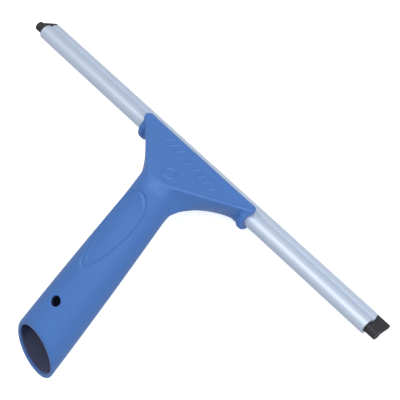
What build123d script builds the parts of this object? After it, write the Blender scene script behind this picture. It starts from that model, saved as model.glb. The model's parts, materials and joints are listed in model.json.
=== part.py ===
"""Hand squeegee for window cleaning: a moulded handle, an aluminium channel and a rubber blade.

The model is drawn in the handle's own axes: X along the channel, Y along the grip towards the
blade, Z up, origin just above the centre of the channel's round back. On the head, u runs along
the plate towards its front edge and v is square to it, up and forward. The channel and the
rubber blade are drawn in the same way, then turned a little and set in the clip. At the end
everything is tipped into its resting pose, on the blade's edge and the heel of the grip, with
the origin on the surface under the middle of the box.
"""

from build123d import *
from math import atan2, cos, degrees, radians, sin, tan
import os

# Channel: a 10 inch aluminium extrusion, a round back with two jaws
CHANNEL_LENGTH = 254.0
CHANNEL_SHIFT = -4.2  # how far the channel's middle sits from the handle's middle
BACK_RADIUS = 4.25
BACK_WALL = 1.1
JAW_HALF = 2.9  # outer half thickness over the jaws
JAW_START = 4.1  # u where the jaws step out from the neck
JAW_LIP = 7.9  # u of the lips
JAW_ROUND = 0.45
NECK_HALF = 2.3  # half thickness of the neck between the round back and the jaws
SLOT_HALF = 1.4
LIP_TRIM = 1.4  # how far the lips are cut back at the two ends

# Rubber blade: a round bead, a flat strip and a slightly thinner edge
RUBBER_LENGTH = 266.8
BEAD_RADIUS = 2.75
STRIP_HALF = 1.1
EDGE_HALF = 0.85
EDGE_U = 9.2
EDGE_START = 8.0  # u where the strip starts to thin towards its edge
CORNER_TRIM = 5.0  # the corner cut off the left end of the strip, along X

# Grip: a tapered tube whose mouth is cut obliquely
GRIP_HEIGHT = 21.0
MOUTH_RADIUS = 15.3
MOUTH_Y = -126.3  # where the oblique mouth crosses the axis
MOUTH_ANGLE = 43.5  # between the mouth's plane and the grip's axis
WAIST_RADIUS = 12.3
WAIST_Y = -31.7
BULGE = 0.35  # how far the grip's side stands outside a straight taper
BORE_MOUTH_RADIUS = 13.1
SEAT_RADIUS = 11.0
SEAT_Y = (-90.0, -50.0)
RELIEF_RADIUS = 8.5
RELIEF_Y = -24.0
LOCK_HOLE_RADIUS = 2.85
LOCK_HOLE_Y = -94.0

# Head: a flat three-sided plate with side walls, and a clip that grips the channel's round back
PLATE_TILT = 57.0  # degrees that the plate points below the grip's axis
JAW_TURN = 7.0  # degrees that the channel's jaws point above the plate
PLATE_FRONT = 7.0  # v of the plate's face
HEAD_BACK = -7.1  # v of the back edge of the side walls
PLATE_THICKNESS = 2.6
WALL_INSET = 3.4  # the walls' thickness measured along X, because they slope
CLIP_HALF = 41.2
CLIP_CLEARANCE = 0.12
CLIP_WALL = 1.95
CLIP_U = -0.85  # where the clip's round bore, and so the channel, is centred
CLIP_V = -0.85
GATE_CLEARANCE = 0.35
FRONT_LIP_U = 0.9
BACK_LIP_U = 2.4
BLOCK_BACK_U = -8.0  # u where the plate over the clip runs into the wedge
COLLAR_WIDTH = 3.0
COLLAR_RISE = 0.7
COLLAR_BACK_U = -5.0
FACE_OUTLINE = ((40.4, -2.0), (39.0, -7.0), (22.6, -20.5), (6.2, -34.0))  # x, u of one half
BACK_OUTLINE = ((33.5, -2.0), (27.2, -6.1), (17.5, -16.0), (11.0, -31.0))
POCKET_U = (-9.0, -17.5, -30.0)
RIB_X = 19.5
RIB_WIDTH = 1.8
BEYOND = 10.0  # how far cutting shapes run past what they cut
LARGE = 400.0

tilt = radians(PLATE_TILT)
ACROSS = Plane(origin=(0, 0, 0), x_dir=(0, cos(tilt), -sin(tilt)), z_dir=(-1, 0, 0))
FACE = Plane(origin=(0, 0, 0), x_dir=(1, 0, 0), z_dir=(0, sin(tilt), cos(tilt)))


def yz(u, v, angle=tilt):
    """The handle's y and z of a point across the channel."""
    return u * cos(angle) + v * sin(angle), -u * sin(angle) + v * cos(angle)


clip_y, clip_z = yz(CLIP_U, CLIP_V)
IN_CLIP = Pos(0, clip_y, clip_z) * Rot(JAW_TURN, 0, 0)


def strip_of(u0, u1, v0, v1):
    """A rectangle across the channel, from u0 to u1 and v0 to v1."""
    return Pos((u0 + u1) / 2, (v0 + v1) / 2) * Rectangle(u1 - u0, v1 - v0)


def prism(sketch, length):
    """The sketch across the channel, drawn out to both sides of the middle."""
    return extrude(ACROSS * sketch, amount=length / 2, both=True)


def plate_cut(corners, half_height):
    """A block square to the head's plate, from its corners' x and u."""
    return extrude(FACE * make_face(Polyline(*corners, close=True)), amount=half_height, both=True)


def slab(points, v):
    """A face of the head at height v, mirrored about the middle from one half's outline."""
    ring = [(x, u) for x, u in points] + [(-x, u) for x, u in reversed(points)]
    return FACE.offset(v) * make_face(Polyline(*ring, close=True))


def half_width(outline, u):
    """How far a half outline stands from the middle at u."""
    for (x0, u0), (x1, u1) in zip(outline, outline[1:]):
        if u0 >= u >= u1:
            return x0 + (x1 - x0) * (u - u0) / (u1 - u0)


def channel():
    outline = Circle(BACK_RADIUS) + strip_of(0, JAW_START, -NECK_HALF, NECK_HALF)
    outline += strip_of(JAW_START, JAW_LIP, -JAW_HALF, JAW_HALF)
    corners = outline.vertices().filter_by(lambda p: abs(abs(p.Y) - JAW_HALF) < 1e-3)
    outline = fillet(corners, JAW_ROUND)
    hollow = Circle(BACK_RADIUS - BACK_WALL) + strip_of(0, JAW_LIP + 1, -SLOT_HALF, SLOT_HALF)
    body = prism(outline - hollow, CHANNEL_LENGTH)
    for side in (-1, 1):
        end = side * CHANNEL_LENGTH / 2
        corners = (
            (end, JAW_START), (end + side, JAW_START), (end + side, JAW_LIP + 1),
            (end - side * LIP_TRIM, JAW_LIP + 1),
        )
        body -= plate_cut(corners, JAW_HALF + 1)
    return Pos(CHANNEL_SHIFT, 0, 0) * IN_CLIP * body


def rubber():
    edge = make_face(Polyline(
        (0, -STRIP_HALF), (EDGE_START, -STRIP_HALF), (EDGE_U, -EDGE_HALF),
        (EDGE_U, EDGE_HALF), (EDGE_START, STRIP_HALF), (0, STRIP_HALF), close=True,
    ))
    body = prism(Circle(BEAD_RADIUS) + edge, RUBBER_LENGTH)
    end = -RUBBER_LENGTH / 2
    corners = (
        (end - 1, BEAD_RADIUS), (end, BEAD_RADIUS), (end + CORNER_TRIM, EDGE_U + 1),
        (end - 1, EDGE_U + 1),
    )
    return Pos(CHANNEL_SHIFT, 0, 0) * IN_CLIP * (body - plate_cut(corners, BEAD_RADIUS))


def turned(points):
    """A solid of revolution about the grip's axis, from (y, radius) points on one smooth side."""
    first, last = points[0][0], points[-1][0]
    side = Spline(*[(0, y, GRIP_HEIGHT + radius) for y, radius in points])
    outline = side + Polyline(
        (0, last, GRIP_HEIGHT + points[-1][1]), (0, last, GRIP_HEIGHT),
        (0, first, GRIP_HEIGHT), (0, first, GRIP_HEIGHT + points[0][1]),
    )
    return revolve(make_face(outline), axis=Axis((0, 0, GRIP_HEIGHT), (0, 1, 0)))


def grip_radius(y):
    """The grip's outer radius: a straight taper with a slight belly."""
    part = (y - MOUTH_Y) / (WAIST_Y - MOUTH_Y)
    straight = MOUTH_RADIUS + (WAIST_RADIUS - MOUTH_RADIUS) * part
    return straight + BULGE * 4 * part * (1 - part)


def bore(radius, y0, y1, end_radius=None):
    """A cylinder or cone along the grip's axis from y0 to y1."""
    length = y1 - y0
    round_bar = Cone(radius, end_radius, length) if end_radius else Cylinder(radius, length)
    return Pos(0, (y0 + y1) / 2, GRIP_HEIGHT) * Rot(-90, 0, 0) * round_bar


def half_space(origin, normal):
    """A large block on the side of the plane that its normal points to."""
    block = Box(LARGE, LARGE, LARGE, align=(Align.CENTER, Align.CENTER, Align.MIN))
    return Plane(origin=origin, z_dir=normal) * block


def clip_profile(rise=0.0, back_u=BLOCK_BACK_U):
    """The clip across the channel: a half ring behind, and the plate's front edge above it."""
    outer = BACK_RADIUS + CLIP_CLEARANCE + CLIP_WALL + rise
    ring = Pos(CLIP_U, CLIP_V) * Circle(outer)
    ring = ring & strip_of(-2 * outer, BACK_LIP_U, -2 * outer, 0)
    return ring + strip_of(back_u, FRONT_LIP_U, 0, PLATE_FRONT + rise)


def wedge():
    """The head's plate and side walls, hollow behind, with two ribs."""
    solid = loft([slab(BACK_OUTLINE, HEAD_BACK), slab(FACE_OUTLINE, PLATE_FRONT)], ruled=True)
    inside = [
        [(half_width(outline, u) - WALL_INSET, u) for u in POCKET_U]
        for outline in (BACK_OUTLINE, FACE_OUTLINE)
    ]
    floor = PLATE_FRONT - PLATE_THICKNESS
    pocket = loft([slab(inside[0], HEAD_BACK - 1), slab(inside[1], floor)], ruled=True)
    rib_y, rib_z = yz(sum(POCKET_U) / len(POCKET_U), 0)
    for x in (-RIB_X, RIB_X):
        pocket -= Pos(x, rib_y, rib_z) * Box(RIB_WIDTH, LARGE, LARGE)
    return solid - pocket


def handle():
    start = MOUTH_Y - 2 * BEYOND
    stations = [start, MOUTH_Y, -100, -66, WAIST_Y]
    grip = turned([(y, grip_radius(y)) for y in stations] + [(6, WAIST_RADIUS)])
    front_y, front_z = yz(0, PLATE_FRONT)
    grip -= half_space((0, front_y, front_z), (0, sin(tilt), cos(tilt)))

    body = wedge() + grip + prism(clip_profile(), 2 * CLIP_HALF)
    collar = prism(clip_profile(COLLAR_RISE, COLLAR_BACK_U), COLLAR_WIDTH)
    for side in (-1, 1):
        body += Pos(side * (CLIP_HALF - COLLAR_WIDTH / 2), 0, 0) * collar

    body -= bore(SEAT_RADIUS, SEAT_Y[0], SEAT_Y[1])
    body -= bore(RELIEF_RADIUS, SEAT_Y[1] - 1, RELIEF_Y)
    growth = (BORE_MOUTH_RADIUS - SEAT_RADIUS) / (SEAT_Y[0] - MOUTH_Y)
    far = start - BEYOND
    body -= bore(SEAT_RADIUS + growth * (SEAT_Y[0] - far), far, SEAT_Y[0], SEAT_RADIUS)
    slope = radians(MOUTH_ANGLE)
    body -= half_space((0, MOUTH_Y, GRIP_HEIGHT), (0, -cos(slope), sin(slope)))
    lock_hole = Cylinder(LOCK_HOLE_RADIUS, 2 * MOUTH_RADIUS)
    body -= Pos(0, LOCK_HOLE_Y, GRIP_HEIGHT + MOUTH_RADIUS) * lock_hole
    gate_half = JAW_HALF + GATE_CLEARANCE
    opening = Circle(BACK_RADIUS + CLIP_CLEARANCE)
    opening += strip_of(0, 2 * BEYOND, -gate_half, gate_half)
    return body - IN_CLIP * prism(opening, 2 * CLIP_HALF + BEYOND)


pieces = {"handle": handle(), "channel": channel(), "rubber_blade": rubber()}

# Resting pose: turn about X until the blade's edge and the heel of the grip are level
edge_y, edge_z = yz(EDGE_U, -EDGE_HALF, radians(PLATE_TILT - JAW_TURN))
edge_y, edge_z = edge_y + clip_y, edge_z + clip_z
heel_y = pieces["handle"].bounding_box().min.Y
heel_z = GRIP_HEIGHT + (heel_y - MOUTH_Y) / tan(radians(MOUTH_ANGLE))
rest = degrees(atan2(heel_z - edge_z, edge_y - heel_y))
pieces = {name: Rot(rest, 0, 0) * piece for name, piece in pieces.items()}
boxes = [piece.bounding_box() for piece in pieces.values()]
low = [min(getattr(box.min, side) for box in boxes) for side in "XYZ"]
high = [max(getattr(box.max, side) for box in boxes) for side in "XYZ"]
shift = Pos(-(low[0] + high[0]) / 2, -(low[1] + high[1]) / 2, -low[2])
pieces = {name: shift * piece for name, piece in pieces.items()}

os.makedirs("parts", exist_ok=True)
for name, piece in pieces.items():
    export_step(piece, f"parts/{name}.step")


def placed(y, z):
    """Where a point of the handle's middle plane lies in the row's frame."""
    point = (shift * Rot(rest, 0, 0) * Pos(0, y, z)).position
    return round(point.X, 4), round(point.Y, 4), round(point.Z, 4)


print("rest tilt", round(rest, 3), "box", [round(b - a, 2) for a, b in zip(low, high)])
print("handle origin", placed(0, 0))
print("seat middle", placed(sum(SEAT_Y) / 2, GRIP_HEIGHT))
print("lock hole", placed(LOCK_HOLE_Y, GRIP_HEIGHT + grip_radius(LOCK_HOLE_Y) - 1.3))
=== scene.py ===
"""Hand squeegee: the looks of its moulded handle, aluminium channel and rubber blade.

Lengths inside the shape functions are in millimetres, in the handle's own axes: X along
the channel, Y along the grip towards the blade, Z up, with the origin just above the
centre of the channel's round back. On the head, u runs along the plate to its front
edge and v is square to the plate, towards its face.
"""

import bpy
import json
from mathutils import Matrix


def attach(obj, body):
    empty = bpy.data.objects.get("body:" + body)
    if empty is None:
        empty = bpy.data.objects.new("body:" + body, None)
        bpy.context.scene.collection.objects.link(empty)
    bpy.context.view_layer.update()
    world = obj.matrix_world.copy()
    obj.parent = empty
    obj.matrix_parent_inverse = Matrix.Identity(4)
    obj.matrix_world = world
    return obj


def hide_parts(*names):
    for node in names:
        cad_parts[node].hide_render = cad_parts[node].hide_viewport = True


bl_info = {
    "name": "Hand Squeegee",
    "version": (1, 0, 0),
    "blender": (4, 5, 0),
    "location": "3D View > Sidebar > Squeegee",
    "description": "Moulded handle, aluminium channel and rubber blade of a squeegee",
    "category": "Object",
}

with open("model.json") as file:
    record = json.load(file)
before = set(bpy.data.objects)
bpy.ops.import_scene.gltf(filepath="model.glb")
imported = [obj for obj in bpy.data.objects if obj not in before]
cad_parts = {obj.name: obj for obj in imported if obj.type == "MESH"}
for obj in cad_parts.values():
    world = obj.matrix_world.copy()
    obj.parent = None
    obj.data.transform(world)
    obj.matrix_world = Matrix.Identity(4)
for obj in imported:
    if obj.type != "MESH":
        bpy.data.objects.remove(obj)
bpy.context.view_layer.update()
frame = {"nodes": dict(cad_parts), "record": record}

import json
from math import cos, radians, sin

import bpy
import numpy as np
from bpy.props import FloatProperty, FloatVectorProperty
from mathutils import Matrix, Vector

MM = 0.001
TINY = 1e-6


# Where the handle's own axes lie in the frame -----------------------------------------

SOCKET = next(m for m in frame["record"]["mounts"] if m["name"] == "pole_socket")
SOCKET_Y = -70.0  # the socket's stated point, in the handle's axes
GRIP_HEIGHT = 21.0  # the grip's axis above the origin
ALONG_GRIP = -Vector(SOCKET["axis"])
ABOVE_GRIP = Vector((1, 0, 0)).cross(ALONG_GRIP)
ORIGIN_TO_SOCKET = (SOCKET_Y * ALONG_GRIP + GRIP_HEIGHT * ABOVE_GRIP) * MM
HANDLE_ORIGIN = Vector(SOCKET["pos_m"]) - ORIGIN_TO_SOCKET


def placed(x, y, z):
    """A point of the handle's axes, in millimetres, as one of the frame in metres."""
    return HANDLE_ORIGIN + (Vector((x, 0, 0)) + y * ALONG_GRIP + z * ABOVE_GRIP) * MM


# Sizes of the grip --------------------------------------------------------------------

MOUTH_Y = -126.3
MOUTH_RADIUS = 15.3
MOUTH_ANGLE = radians(43.5)  # how far the mouth leans from square to the grip
MOUTH_EDGE = 1.4
WAIST_Y = -31.7
WAIST_RADIUS = 12.3
BELLY = 1.4  # four times the swelling half way between mouth and waist
TAPER_SPAN = (-0.2, 1.0)  # where the taper ends, with 0 at the mouth and 1 at the waist

BORE_MOUTH_RADIUS = 13.1
BORE_EDGE = 0.8
SEAT_RADIUS = 11.0
SEAT_START = -90.0
SEAT_END = -50.0
RELIEF_RADIUS = 8.5
RELIEF_END = -24.0
LOCK_RADIUS = 2.85
LOCK_Y = -94.0
LOCK_EDGE = 0.6

THUMB_Y = -47.0
THUMB_HALF_LENGTH = 24.0
THUMB_HALF_WIDTH = 9.1
THUMB_WIDENING = 0.32  # share by which its front end is wider and its rear end narrower
THUMB_LEAN = -0.5  # where its middle lies, round the grip from the top
GROOVE_WIDTH = 0.6
HOLLOW_DEPTH = 0.55
HOLLOW_SLOPE = (0.0, 5.0)  # distances inside the groove over which it deepens


# Sizes of the head --------------------------------------------------------------------

TILT = radians(57.0)  # how far the plate points below the grip's axis
FACE = 7.0  # v of the face
BACK = -7.1  # v of the side walls' rear edges
HEAD_REAR = -36.5
HEAD_FRONT = -0.5
BACK_EDGE = 1.2
REAR_EDGE = 3.5
FRONT_EDGE = 1.0

FACE_HALF = 47.4  # half width of the face at u = 0
FACE_SPLAY = 1.214  # what the half width gains along u
BACK_HALF = 13.2  # half width behind, far from the front
BACK_FLARE = 25.0  # what it gains at u = 0
BACK_FLARE_LENGTH = 11.5
NECK_PINCH = 7.5  # what it loses at the neck
NECK_PINCH_U = (-20.0, -34.0)
WALL_DEPTH = 1.3  # where the walls stop narrowing, with 0 at the face and 1 behind
WALL_BOW = 1.3
WALL_SLANT = 0.66  # turns a distance along X into one square to a wall

END_MIDDLE = -0.2
END_HALF = 40.6
END_SPLAY = 0.25  # what an end gains along v
END_EDGE = 1.6

WALL_THICKNESS = 2.4
PLATE_THICKNESS = 2.6
POCKET_FRONT = -9.0
POCKET_EDGE = 1.0
WEB_X = 19.5
WEB_HALF = 0.9

NECK_FILLET = 1.0
UNDER_NECK_FILLET = 7.5  # what the fillet gains below the grip's axis
UNDER_NECK_Z = (-3.0, 3.0)  # distances below that axis over which it grows
UNDER_NECK_U = (-38.0, -27.0)

DISH_DEPTH = 0.8
DISH_SLOPE = (1.2, 5.0)  # distances from the face's edge over which it deepens
DISH_U = (-36.0, -28.0)
NOSE_DROP = 0.5
NOSE_START = -7.0
FACE_EDGE = 1.6
BEND = 5.0  # what the face's edge radius gains where it meets the grip
BEND_U = (-29.0, -36.0)

MARK_COUNT = 9
MARK_START = -20.0
MARK_SPACING = 5.0
MARK_U = -7.9
MARK_DRIFT = -0.14  # what a mark's u gains along X
MARK_HALF_RUN = (0.8, 1.9)  # half of a mark, along X and along u
MARK_WIDTH = 0.65
MARK_SQUARENESS = 4
RING_X = 0.5
RING_U = -24.0
RING_RADIUS = 3.9
RING_WIDTH = 0.55


# Sizes of the clip that grips the channel ---------------------------------------------

CLIP_U = -0.85
CLIP_V = -0.85
CLIP_INNER = 4.37
CLIP_OUTER = 6.32
CLIP_MIDDLE = 0.3
CLIP_HALF = 41.2
CLIP_INSET = 0.6  # leaves room for the rounding of its ends
CLIP_EDGE = 1.2
CLIP_FILLET = 1.2
FRONT_LIP = 0.1  # u of the clip's edge on the face's side
BACK_LIP = 2.4  # u of its edge behind
LIP_EDGE = 1.0
JAW_TURN = radians(7.0)  # how far the channel's jaws point above the plate
GATE_HALF = 3.25
GATE_EDGE = 0.5

COLLAR_RISE = 1.1
COLLAR_HALF = 1.8
COLLAR_OVER_FACE = 0.2
COLLAR_EDGE = 1.0
COLLAR_FILLET = 1.0
BLOCK_REAR = -5.0
BLOCK_UNDER_FACE = 0.1
BLOCK_EDGE = 2.2
BLOCK_REAR_EDGE = 3.5
BLOCK_FILLET = 1.5


# Fields: negative inside, in millimetres ----------------------------------------------

def union(a, b, radius):
    """Both shapes, with a fillet of about that radius between them."""
    near = np.maximum(radius - np.abs(a - b), 0) / radius
    return np.minimum(a, b) - near * near * radius / 4


def common(a, b, radius):
    """What both shapes share, with its edge rounded."""
    return -union(-a, -b, radius)


def ease(x, start, end):
    """Rises smoothly from 0 at start to 1 at end."""
    part = np.clip((x - start) / (end - start), 0, 1)
    return part * part * (3 - 2 * part)


def grip_radius(y):
    """The grip's outer radius, which tapers from its mouth to its waist."""
    part = (y - MOUTH_Y) / (WAIST_Y - MOUTH_Y)
    part = np.clip(part, *TAPER_SPAN)
    taper = MOUTH_RADIUS + (WAIST_RADIUS - MOUTH_RADIUS) * part
    return taper + BELLY * part * (1 - part)


def bore_radius(y):
    """The socket's radius: tapered from the mouth, straight at the seat, then less."""
    flare = (BORE_MOUTH_RADIUS - SEAT_RADIUS) / (SEAT_START - MOUTH_Y)
    tapered = SEAT_RADIUS + flare * np.maximum(SEAT_START - y, 0)
    return np.where(y > SEAT_END, RELIEF_RADIUS, tapered)


def past_mouth(y, z):
    """Distance out of the grip's oblique mouth."""
    return (z - GRIP_HEIGHT) * sin(MOUTH_ANGLE) - (y - MOUTH_Y) * cos(MOUTH_ANGLE)


def thumb_rest(x, y, z, groove_depth):
    """How far in the thumb rest's groove and hollow take the grip's surface."""
    across = grip_radius(y) * np.arctan2(x, z - GRIP_HEIGHT) - THUMB_LEAN
    along = (y - THUMB_Y) / THUMB_HALF_LENGTH
    width = THUMB_HALF_WIDTH * (1 + THUMB_WIDENING * np.clip(along, -1, 1))
    reach = np.sqrt((across / width) ** 2 + along ** 2) + TINY
    steepness = (across / width ** 2) ** 2 + (along / THUMB_HALF_LENGTH) ** 2
    from_line = (reach - 1) / (np.sqrt(steepness) / reach + TINY)
    groove = groove_depth * np.exp(-(from_line / GROOVE_WIDTH) ** 2)
    hollow = HOLLOW_DEPTH * ease(-from_line, *HOLLOW_SLOPE)
    return np.where(z > GRIP_HEIGHT, groove + hollow, 0)


def side_wall(x, u, v):
    """Distance out of the head's two side walls."""
    depth = np.clip((FACE - v) / (FACE - BACK), 0, WALL_DEPTH) ** WALL_BOW
    face_half = FACE_HALF + FACE_SPLAY * u
    flared = BACK_HALF + BACK_FLARE * np.exp(u / BACK_FLARE_LENGTH)
    back_half = flared - NECK_PINCH * ease(u, *NECK_PINCH_U)
    return (np.abs(x) - (face_half + (back_half - face_half) * depth)) * WALL_SLANT


def past_end(x, v):
    """Distance out of the head's two ends, which splay towards the face."""
    return np.abs(x - END_MIDDLE) - END_HALF - END_SPLAY * np.clip(v, 0, FACE)


def walled_head(x, u, v, wall, end):
    """The head with its pocket and the two webs in it, before the face is shaped."""
    head = common(wall, BACK - v, BACK_EDGE)
    head = common(head, HEAD_REAR - u, REAR_EDGE)
    head = common(head, u - HEAD_FRONT, FRONT_EDGE)
    head = common(head, end, END_EDGE)
    pocket = np.maximum(wall + WALL_THICKNESS, v - FACE + PLATE_THICKNESS)
    pocket = np.maximum(pocket, u - POCKET_FRONT)
    pocket = np.maximum(pocket, WEB_HALF - np.abs(np.abs(x) - WEB_X))
    return common(head, -pocket, POCKET_EDGE)


def from_stroke(x, u, start, end):
    """Distance from a straight stroke on the head's face."""
    run = end - start
    part = ((x - start[0]) * run[0] + (u - start[1]) * run[1]) / run.dot(run)
    part = np.clip(part, 0, 1)
    return np.hypot(x - start[0] - part * run[0], u - start[1] - part * run[1])


def raised_marks(x, u, mark_height, ring_height):
    """Plain slanting marks along the head's front edge and one plain ring."""
    marks = np.zeros_like(x)
    for n in range(MARK_COUNT):
        across = MARK_START + MARK_SPACING * n
        middle = np.array((across, MARK_U + MARK_DRIFT * across))
        line = from_stroke(x, u, middle - MARK_HALF_RUN, middle + MARK_HALF_RUN)
        profile = np.exp(-(line / MARK_WIDTH) ** MARK_SQUARENESS)
        marks = np.maximum(marks, mark_height * profile)
    ring = np.abs(np.hypot(x - RING_X, u - RING_U) - RING_RADIUS)
    profile = np.exp(-(ring / RING_WIDTH) ** MARK_SQUARENESS)
    return np.maximum(marks, ring_height * profile)


def past_face(x, u, v, wall, marks):
    """Distance out of the head's face: dished, drooping at its nose, with marks."""
    from_edge = np.maximum(-wall / WALL_SLANT, 0)
    dish = DISH_DEPTH * ease(from_edge, *DISH_SLOPE) * ease(u, *DISH_U)
    nose = NOSE_DROP * ease(u, NOSE_START, FRONT_LIP)
    return v - FACE + np.maximum(dish, nose) - marks


def unopened_clip(x, u, v, around, end):
    """The clip before its bore: a tube, a collar near each end and a solid block."""
    past_clip = np.abs(x - CLIP_MIDDLE) - CLIP_HALF + CLIP_INSET
    tube = common(around - CLIP_OUTER, v - FACE, CLIP_EDGE)
    tube = common(tube, past_clip, END_EDGE)
    rise = around - CLIP_OUTER - COLLAR_RISE
    collar = common(rise, v - FACE - COLLAR_OVER_FACE, CLIP_EDGE)
    collar = common(collar, np.abs(past_clip + COLLAR_HALF) - COLLAR_HALF, COLLAR_EDGE)
    block = common(end, v - FACE + BLOCK_UNDER_FACE, BLOCK_EDGE)
    block = common(block, np.maximum(BLOCK_REAR - u, -v), BLOCK_REAR_EDGE)
    holder = union(union(tube, collar, COLLAR_FILLET), block, BLOCK_FILLET)
    lip = np.where(v > 0, FRONT_LIP, BACK_LIP)
    return common(holder, common(u - lip, end, BLOCK_EDGE), LIP_EDGE)


def channel_room(u, v, around):
    """The clip's bore and its gate, which the channel's back and jaws pass through."""
    jaw_u = (u - CLIP_U) * cos(JAW_TURN) + (v - CLIP_V) * sin(JAW_TURN)
    jaw_v = (v - CLIP_V) * cos(JAW_TURN) - (u - CLIP_U) * sin(JAW_TURN)
    gate = np.maximum(np.abs(jaw_v) - GATE_HALF, -jaw_u)
    return np.minimum(around - CLIP_INNER, gate)


def handle_field(x, y, z, groove_depth, mark_height, ring_height):
    """The whole handle: grip, head and clip, with all that is cut out of them."""
    u = y * cos(TILT) - z * sin(TILT)
    v = y * sin(TILT) + z * cos(TILT)
    from_axis = np.hypot(x, z - GRIP_HEIGHT)
    grip = from_axis - grip_radius(y) + thumb_rest(x, y, z, groove_depth)
    wall = side_wall(x, u, v)
    end = past_end(x, v)
    under_neck = ease(GRIP_HEIGHT - z, *UNDER_NECK_Z) * ease(u, *UNDER_NECK_U)
    fillet = NECK_FILLET + UNDER_NECK_FILLET * under_neck
    body = union(grip, walled_head(x, u, v, wall, end), fillet)

    marks = raised_marks(x, u, mark_height, ring_height)
    bend = FACE_EDGE + BEND * ease(u, *BEND_U)
    body = common(body, past_face(x, u, v, wall, marks), bend)

    around = np.hypot(u - CLIP_U, v - CLIP_V)
    body = union(body, unopened_clip(x, u, v, around, end), CLIP_FILLET)
    body = common(body, -channel_room(u, v, around), GATE_EDGE)

    bore = np.maximum(from_axis - bore_radius(y), y - RELIEF_END)
    body = common(body, -bore, BORE_EDGE)
    body = common(body, past_mouth(y, z), MOUTH_EDGE)
    lock = np.maximum(np.hypot(x, y - LOCK_Y) - LOCK_RADIUS, GRIP_HEIGHT - z)
    return common(body, -lock, LOCK_EDGE)


# Painted shade in the socket and lock hole, as distances over which it darkens --------

DARK_BORE = (-0.5, 0.0)  # into the socket's wall, from inside the plastic
DARK_MOUTH = (0.3, 1.8)  # in from the mouth
DARK_END = (-34.0, -40.0)  # Y, so that only the socket is dark
DARK_HOLE = (-0.1, 0.1)  # in from the lock hole's wall
DARK_HOLE_DEPTH = (0.3, 0.9)  # under the grip's surface
DARK_HOLE_MARGIN = 0.15


def socket_shade_mask(points):
    """0 outside, rising to 1 a little way inside the pole socket and its lock hole: the
    mask of the painted shade there.
    """
    # Painted shade: this mask darkens the plastic where the socket and lock hole are in
    # shade.
    x, y, z = points.T
    from_axis = np.hypot(x, z - GRIP_HEIGHT)
    bore = from_axis - bore_radius(y)
    socket = ease(-bore, *DARK_BORE) * ease(-past_mouth(y, z), *DARK_MOUTH)
    socket = socket * ease(y, *DARK_END)
    in_hole = LOCK_RADIUS + DARK_HOLE_MARGIN - np.hypot(x, y - LOCK_Y)
    hole = ease(in_hole, *DARK_HOLE)
    hole = hole * ease(grip_radius(y) - from_axis, *DARK_HOLE_DEPTH)
    return np.maximum(socket, hole * (z > GRIP_HEIGHT))


# Meshes from fields -------------------------------------------------------------------

HANDLE_LOW = (-44.5, -149.0, -11.0)
HANDLE_HIGH = (44.5, 10.0, 36.0)
SETTLING_ROUNDS = 3
SLOPE_STEP = 0.15
LEAST_SLOPE_SQUARED = 0.25
LONGEST_MOVE = 0.35  # share of a cell that a point may move in one round
NO_LENGTH = 1e-9
CORNERS_BACK = ((0, 0), (1, 0), (1, 1), (0, 1))  # the four cells round a grid edge


def crossings(values, axis):
    """Grid edges along axis that cross the surface.

    For each edge: its first grid point, where along it the surface lies, and whether
    that first point is inside.
    """
    near, far = [slice(None)] * 3, [slice(None)] * 3
    near[axis], far[axis] = slice(0, -1), slice(1, None)
    a, b = values[tuple(near)], values[tuple(far)]
    crossed = (a < 0) != (b < 0)
    a, b = a[crossed], b[crossed]
    return np.argwhere(crossed), a / (a - b), a < 0


def skin(field, low, high, pitch):
    """A closed mesh of quads over a field, with one point in each cell it crosses."""
    axes = [np.arange(a, b + pitch, pitch, dtype=np.float32) for a, b in zip(low, high)]
    values = field(*np.meshgrid(*axes, indexing="ij", sparse=False))
    cells, places, quads = [], [], []
    for axis in range(3):
        start, part, outward = crossings(values, axis)
        place = start.astype(float)
        place[:, axis] += part
        ring = []
        for back_one, back_two in CORNERS_BACK:
            cell = start.copy()
            cell[:, (axis + 1) % 3] -= back_one
            cell[:, (axis + 2) % 3] -= back_two
            ring.append(np.ravel_multi_index(cell.T, values.shape))
            cells.append(ring[-1])
            places.append(place)
        ring = np.stack(ring, 1)
        quads.append(np.where(outward[:, None], ring, ring[:, ::-1]))
    used, index = np.unique(np.concatenate(cells), return_inverse=True)
    places = np.concatenate(places)
    shares = np.bincount(index)
    points = np.stack([np.bincount(index, places[:, k]) / shares for k in range(3)], 1)
    points = points * pitch + np.array(low)
    for _ in range(SETTLING_ROUNDS):
        points = settled(field, points, pitch)
    return points, np.searchsorted(used, np.concatenate(quads))


def settled(field, points, pitch):
    """The points moved towards the field's surface by one Newton step."""
    here = field(*points.T)
    slope = np.zeros_like(points)
    for k in range(3):
        shift = np.zeros(3)
        shift[k] = SLOPE_STEP
        rise = field(*(points + shift).T) - field(*(points - shift).T)
        slope[:, k] = rise / (2 * SLOPE_STEP)
    size = np.maximum((slope ** 2).sum(1), LEAST_SLOPE_SQUARED)
    move = slope * (here / size)[:, None]
    length = np.linalg.norm(move, axis=1, keepdims=True)
    return points - move * np.minimum(
        1, LONGEST_MOVE * pitch / np.maximum(length, NO_LENGTH)
    )


def mesh_object(name, points, faces, shade):
    """A smooth object from points in the handle's axes, with shade as a point attribute
    for the plastic's painted shade.
    """
    mesh = bpy.data.meshes.new(name)
    mesh.from_pydata([placed(*p) for p in points.tolist()], [], faces.tolist())
    mesh.shade_smooth()
    mesh.attributes.new("painted_shade", "FLOAT", "POINT").data.foreach_set("value", shade)
    piece = bpy.data.objects.new(name, mesh)
    bpy.context.scene.collection.objects.link(piece)
    return piece


def coat(node, material):
    """Give a CAD node its finish."""
    node.data.materials.clear()
    node.data.materials.append(material)


# Material nodes -----------------------------------------------------------------------

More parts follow.
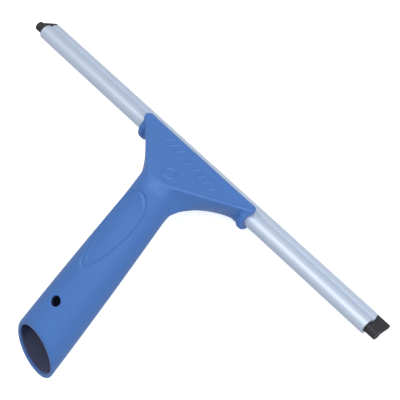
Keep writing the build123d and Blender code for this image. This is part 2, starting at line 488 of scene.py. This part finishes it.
class Wire:
    """A node's output, on which arithmetic adds Math nodes."""

    def __init__(self, finish, socket):
        self.finish = finish
        self.socket = socket

    def _math(self, operation, other):
        settings = {"operation": operation}
        node = self.finish.node("ShaderNodeMath", settings, {0: self, 1: other})
        return self.finish.wire(node)

    def __add__(self, other):
        return self._math("ADD", other)

    def __mul__(self, other):
        return self._math("MULTIPLY", other)

    __radd__ = __add__
    __rmul__ = __mul__


class Finish:
    """A material and the means to add nodes to it."""

    def __init__(self, name):
        self.material = bpy.data.materials.new(name)
        self.material.use_nodes = True
        self.tree = self.material.node_tree
        self.shader = self.tree.nodes["Principled BSDF"]

    def node(self, kind, settings=None, inputs=None):
        """A new node, with its settings set before its sockets are fed."""
        node = self.tree.nodes.new(kind)
        for name, value in (settings or {}).items():
            setattr(node, name, value)
        self.feed(node, inputs or {})
        return node

    def feed(self, node, inputs):
        """Set or link a node's input sockets."""
        for name, value in inputs.items():
            if isinstance(value, Wire):
                self.tree.links.new(value.socket, node.inputs[name])
            else:
                node.inputs[name].default_value = value

    def wire(self, node, output=0):
        """One of a node's outputs, ready for arithmetic."""
        return Wire(self, node.outputs[output])

    def place(self, stretch):
        """The piece's own coordinates in metres, times stretch."""
        where = self.wire(self.node("ShaderNodeTexCoord"), "Object")
        settings = {"operation": "MULTIPLY"}
        return self.wire(
            self.node("ShaderNodeVectorMath", settings, {0: where, 1: stretch})
        )

    def noise(self, scale, detail=2.0, rough=0.5, stretch=(1, 1, 1)):
        """Smooth noise from 0 to 1, drawn out along an axis where stretch is small."""
        return self.wire(self.node("ShaderNodeTexNoise", {}, {
            "Vector": self.place(stretch),
            "Scale": scale,
            "Detail": detail,
            "Roughness": rough,
        }))

    def blend(self, factor, first, second):
        """A colour between two colours."""
        inputs = {0: factor, 6: first, 7: second}
        return self.wire(self.node("ShaderNodeMix", {"data_type": "RGBA"}, inputs), 2)

    def bump(self, height, strength, distance):
        """A normal that follows a height."""
        return self.wire(self.node("ShaderNodeBump", {}, {
            "Height": height, "Strength": strength, "Distance": distance,
        }))


def shaded(colour, times=1.0):
    """A colour made darker or paler, with the alpha that a socket needs."""
    return (*(part * times for part in colour), 1.0)


def moulded_plastic(settings):
    """Semi-matt coloured plastic, darkened by painted shade where the mesh's shade
    attribute is high.
    """
    finish = Finish("blue_moulded_plastic")
    cloud = finish.noise(scale=28.0, detail=3.0)
    grain = finish.noise(scale=2600.0)
    flow = finish.noise(scale=160.0, stretch=(1.0, 0.25, 1.0))
    unshaded = finish.blend(cloud, shaded(settings.colour, 0.93), shaded(settings.colour))
    # Painted shade: the base colour turns towards the dark socket colour where the
    # attribute is high, standing in for the shade deep in the socket and lock hole.
    attribute = finish.node("ShaderNodeAttribute", {"attribute_name": "painted_shade"})
    shade_painted = shaded(settings.socket_shade_colour)
    finish.feed(finish.shader, {
        "Base Color": finish.blend(finish.wire(attribute, "Fac"), unshaded, shade_painted),
        "Roughness": settings.roughness - 0.05 + 0.1 * flow,
        "Normal": finish.bump(grain + 0.6 * flow, strength=0.12, distance=0.0002),
        "Subsurface Weight": 0.04,
        "Subsurface Radius": (0.2, 0.4, 1.0),
        "Subsurface Scale": 0.002,
        "IOR": 1.49,
    })
    return finish.material


def satin_aluminium(settings):
    """Drawn aluminium with fine lines along its length."""
    finish = Finish("satin_aluminium")
    lines = finish.noise(scale=2200.0, detail=3.0, rough=0.6, stretch=(0.012, 1.0, 1.0))
    cloud = finish.noise(scale=45.0)
    dull, bright = shaded(settings.colour, 0.9), shaded(settings.colour)
    finish.feed(finish.shader, {
        "Base Color": finish.blend(cloud, dull, bright),
        "Metallic": 0.6,
        "Roughness": settings.roughness - 0.06 + 0.12 * lines,
        "Normal": finish.bump(lines, strength=0.25, distance=0.00006),
        "Anisotropic": 0.35,
    })
    return finish.material


def black_rubber(settings):
    """Matt rubber with a slight bloom."""
    finish = Finish("black_rubber")
    bloom = finish.noise(scale=90.0, detail=4.0, rough=0.65)
    grain = finish.noise(scale=3000.0)
    deep, pale = shaded(settings.colour), shaded(settings.colour, 2.2)
    finish.feed(finish.shader, {
        "Base Color": finish.blend(bloom, deep, pale),
        "Roughness": settings.roughness - 0.1 + 0.2 * bloom,
        "Normal": finish.bump(grain, strength=0.15, distance=0.0001),
    })
    return finish.material


def plain_floor(settings):
    """A pale matt floor that lights itself a little."""
    finish = Finish("studio_floor")
    finish.feed(finish.shader, {
        "Base Color": shaded(settings.floor_colour),
        "Roughness": 0.9,
        "Emission Color": shaded(settings.floor_colour),
        "Emission Strength": settings.floor_glow,
    })
    return finish.material


# Settings -----------------------------------------------------------------------------

class SqueegeeHandleSettings(bpy.types.PropertyGroup):
    """What can be changed about the handle"""

    colour: FloatVectorProperty(
        name="Plastic", description="Colour of the moulded handle",
        default=(0.054, 0.168, 0.478), min=0, max=1, subtype="COLOR",
    )
    # Painted shade: the colour that the plastic deep in the socket and lock hole is
    # darkened towards, in place of the shade there.
    socket_shade_colour: FloatVectorProperty(
        name="Inside", description="Colour of the dirty plastic deep in the socket",
        default=(0.022, 0.025, 0.075), min=0, max=1, subtype="COLOR",
    )
    roughness: FloatProperty(
        name="Roughness", description="How dull the plastic is",
        default=0.42, min=0, max=1, subtype="FACTOR",
    )
    groove_depth: FloatProperty(
        name="Groove depth", description="Depth of the groove round the thumb rest",
        default=0.75 * MM, min=0, max=1.5 * MM, unit="LENGTH", precision=5,
    )
    mark_height: FloatProperty(
        name="Mark height", description="Height of the slanting marks on the head",
        default=0.8 * MM, min=0, max=1.5 * MM, unit="LENGTH", precision=5,
    )
    ring_height: FloatProperty(
        name="Ring height", description="Height of the ring on the head",
        default=0.75 * MM, min=0, max=1.5 * MM, unit="LENGTH", precision=5,
    )
    pitch: FloatProperty(
        name="Mesh pitch", description="Width of the handle's faces",
        default=0.55 * MM, min=0.3 * MM, max=2 * MM, unit="LENGTH", precision=5,
    )


class SqueegeeChannelSettings(bpy.types.PropertyGroup):
    """What can be changed about the channel"""

    colour: FloatVectorProperty(
        name="Metal", description="Colour of the aluminium",
        default=(0.63, 0.71, 0.84), min=0, max=1, subtype="COLOR",
    )
    roughness: FloatProperty(
        name="Roughness", description="How satin the metal is",
        default=0.46, min=0, max=1, subtype="FACTOR",
    )


class SqueegeeRubberSettings(bpy.types.PropertyGroup):
    """What can be changed about the rubber blade"""

    colour: FloatVectorProperty(
        name="Rubber", description="Colour of the blade",
        default=(0.010, 0.010, 0.011), min=0, max=1, subtype="COLOR",
    )
    roughness: FloatProperty(
        name="Roughness", description="How dull the rubber is",
        default=0.55, min=0, max=1, subtype="FACTOR",
    )


class SqueegeeStageSettings(bpy.types.PropertyGroup):
    """What can be changed about the floor, the lights and the camera"""

    floor_colour: FloatVectorProperty(
        name="Floor", description="Colour of the floor",
        default=(0.93, 0.94, 0.95), min=0, max=1, subtype="COLOR",
    )
    floor_glow: FloatProperty(
        name="Floor glow", description="How far the floor lights itself",
        default=0.6, min=0, max=2,
    )
    room_colour: FloatVectorProperty(
        name="Room", description="Colour of the even light all round",
        default=(0.93, 0.96, 1.0), min=0, max=1, subtype="COLOR",
    )
    room_light: FloatProperty(
        name="Room light", description="Strength of the even light all round",
        default=0.62, min=0, max=5,
    )
    key_power: FloatProperty(
        name="Key light", description="Power of the large soft light",
        default=8.5, min=0, max=200, unit="POWER",
    )
    lens: FloatProperty(
        name="Lens", description="Focal length of the camera, in millimetres",
        default=105.1, min=20, max=300,
    )


# Stage: metres, except the camera's place ---------------------------------------------

FLOOR_HALF = 40.0
KEY_TOWARDS, KEY_DISTANCE, KEY_SIZE = (0.75, 0.45, 0.8), 1.3, 1.0
TOP_TOWARDS, TOP_DISTANCE, TOP_SIZE = (-0.2, 0.35, 1.0), 1.4, 0.9
TOP_SHARE = 0.6  # the overhead light's power, as a share of the key light's
SENSOR_WIDTH = 36.0
CAMERA_PLACE = (276.39, 91.89, 533.31)  # millimetres, in the handle's axes
CAMERA_RIGHT = Vector((0.65760, 0.60810, -0.44472))  # directions in the same axes
CAMERA_BACK = Vector((0.43818, 0.17146, 0.88238))


def make_floor(settings):
    """A floor so wide that its edge stays out of low views."""
    mesh = bpy.data.meshes.new("floor")
    signs = ((-1, -1), (1, -1), (1, 1), (-1, 1))
    corners = [(a * FLOOR_HALF, b * FLOOR_HALF, 0) for a, b in signs]
    mesh.from_pydata(corners, [], [(0, 1, 2, 3)])
    mesh.materials.append(plain_floor(settings))
    floor = bpy.data.objects.new("floor", mesh)
    bpy.context.scene.collection.objects.link(floor)
    floor.visible_diffuse = False  # so that its glow doesn't light the undersides
    floor.visible_glossy = False


def soft_light(name, towards, distance, size, power):
    """A square area light, that far off along a direction and facing the squeegee."""
    lamp = bpy.data.lights.new(name, "AREA")
    lamp.shape = "SQUARE"
    lamp.size = size
    lamp.energy = power
    light = bpy.data.objects.new(name, lamp)
    direction = Vector(towards).normalized()
    light.location = direction * distance
    light.rotation_euler = direction.to_track_quat("Z", "Y").to_euler()
    bpy.context.scene.collection.objects.link(light)


def make_lights(settings):
    """Two soft lights above and an even light all round."""
    power = settings.key_power
    soft_light("key", KEY_TOWARDS, KEY_DISTANCE, KEY_SIZE, power)
    soft_light("overhead", TOP_TOWARDS, TOP_DISTANCE, TOP_SIZE, power * TOP_SHARE)
    world = bpy.data.worlds.new("room")
    world.use_nodes = True
    room = world.node_tree.nodes["Background"]
    room.inputs["Color"].default_value = shaded(settings.room_colour)
    room.inputs["Strength"].default_value = settings.room_light
    bpy.context.scene.world = world
    bpy.context.scene.view_settings.view_transform = "Standard"


def make_camera(settings):
    """A camera above the squeegee, off towards one end of the channel."""
    camera = bpy.data.objects.new("camera", bpy.data.cameras.new("camera"))
    camera.data.lens = settings.lens
    camera.data.sensor_width = SENSOR_WIDTH
    turn = Matrix((Vector((1, 0, 0)), ALONG_GRIP, ABOVE_GRIP)).transposed()
    right = turn @ CAMERA_RIGHT
    back = turn @ CAMERA_BACK
    facing = Matrix((right, back.cross(right), back)).transposed().to_4x4()
    camera.matrix_world = Matrix.Translation(placed(*CAMERA_PLACE)) @ facing
    bpy.context.scene.collection.objects.link(camera)
    bpy.context.scene.camera = camera


# Operators ----------------------------------------------------------------------------

class SQUEEGEE_OT_handle(bpy.types.Operator):
    """Make the moulded handle: grip, thumb rest, head and clip"""

    bl_idname = "squeegee.handle"
    bl_label = "Handle"

    def execute(self, context):
        settings = context.scene.squeegee_handle
        depths = (settings.groove_depth, settings.mark_height, settings.ring_height)
        depths = [depth / MM for depth in depths]

        def field(x, y, z):
            return handle_field(x, y, z, *depths)

        pitch = settings.pitch / MM * 1
        points, faces = skin(field, HANDLE_LOW, HANDLE_HIGH, pitch)
        # The mask of painted shade in the socket and lock hole goes on as a point
        # attribute.
        piece = mesh_object("moulded_handle", points, faces, socket_shade_mask(points))
        piece.data.materials.append(moulded_plastic(settings))
        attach(piece, "handle")
        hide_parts("handle")
        return {"FINISHED"}


class SQUEEGEE_OT_channel(bpy.types.Operator):
    """Finish the extruded aluminium channel"""

    bl_idname = "squeegee.channel"
    bl_label = "Channel"

    def execute(self, context):
        metal = satin_aluminium(context.scene.squeegee_channel)
        coat(frame["nodes"]["channel"], metal)
        return {"FINISHED"}


class SQUEEGEE_OT_rubber_blade(bpy.types.Operator):
    """Finish the rubber blade"""

    bl_idname = "squeegee.rubber_blade"
    bl_label = "Rubber blade"

    def execute(self, context):
        rubber = black_rubber(context.scene.squeegee_rubber)
        coat(frame["nodes"]["rubber_blade"], rubber)
        return {"FINISHED"}


class SQUEEGEE_OT_stage(bpy.types.Operator):
    """Make the floor, the lights and the camera"""

    bl_idname = "squeegee.stage"
    bl_label = "Stage"

    def execute(self, context):
        settings = context.scene.squeegee_stage
        make_floor(settings)
        make_lights(settings)
        make_camera(settings)
        return {"FINISHED"}


class SQUEEGEE_PT_pieces(bpy.types.Panel):
    """The squeegee's pieces and stage"""

    bl_idname = "SQUEEGEE_PT_pieces"
    bl_label = "Squeegee"
    bl_space_type = "VIEW_3D"
    bl_region_type = "UI"
    bl_category = "Squeegee"

    def draw(self, context):
        for operator in OPERATORS:
            self.layout.operator(operator.bl_idname)


SETTINGS = {
    "squeegee_handle": SqueegeeHandleSettings,
    "squeegee_channel": SqueegeeChannelSettings,
    "squeegee_rubber": SqueegeeRubberSettings,
    "squeegee_stage": SqueegeeStageSettings,
}
OPERATORS = (
    SQUEEGEE_OT_handle,
    SQUEEGEE_OT_channel,
    SQUEEGEE_OT_rubber_blade,
    SQUEEGEE_OT_stage,
)


def register():
    for name, group in SETTINGS.items():
        bpy.utils.register_class(group)
        setattr(bpy.types.Scene, name, bpy.props.PointerProperty(type=group))
    for operator in OPERATORS:
        bpy.utils.register_class(operator)
    bpy.utils.register_class(SQUEEGEE_PT_pieces)


def unregister():
    bpy.utils.unregister_class(SQUEEGEE_PT_pieces)
    for operator in reversed(OPERATORS):
        bpy.utils.unregister_class(operator)
    for name, group in SETTINGS.items():
        delattr(bpy.types.Scene, name)
        bpy.utils.unregister_class(group)


def main():
    register()
    bpy.ops.squeegee.handle()
    bpy.ops.squeegee.channel()
    bpy.ops.squeegee.rubber_blade()
    bpy.ops.squeegee.stage()


if __name__ == "__main__":
    main()
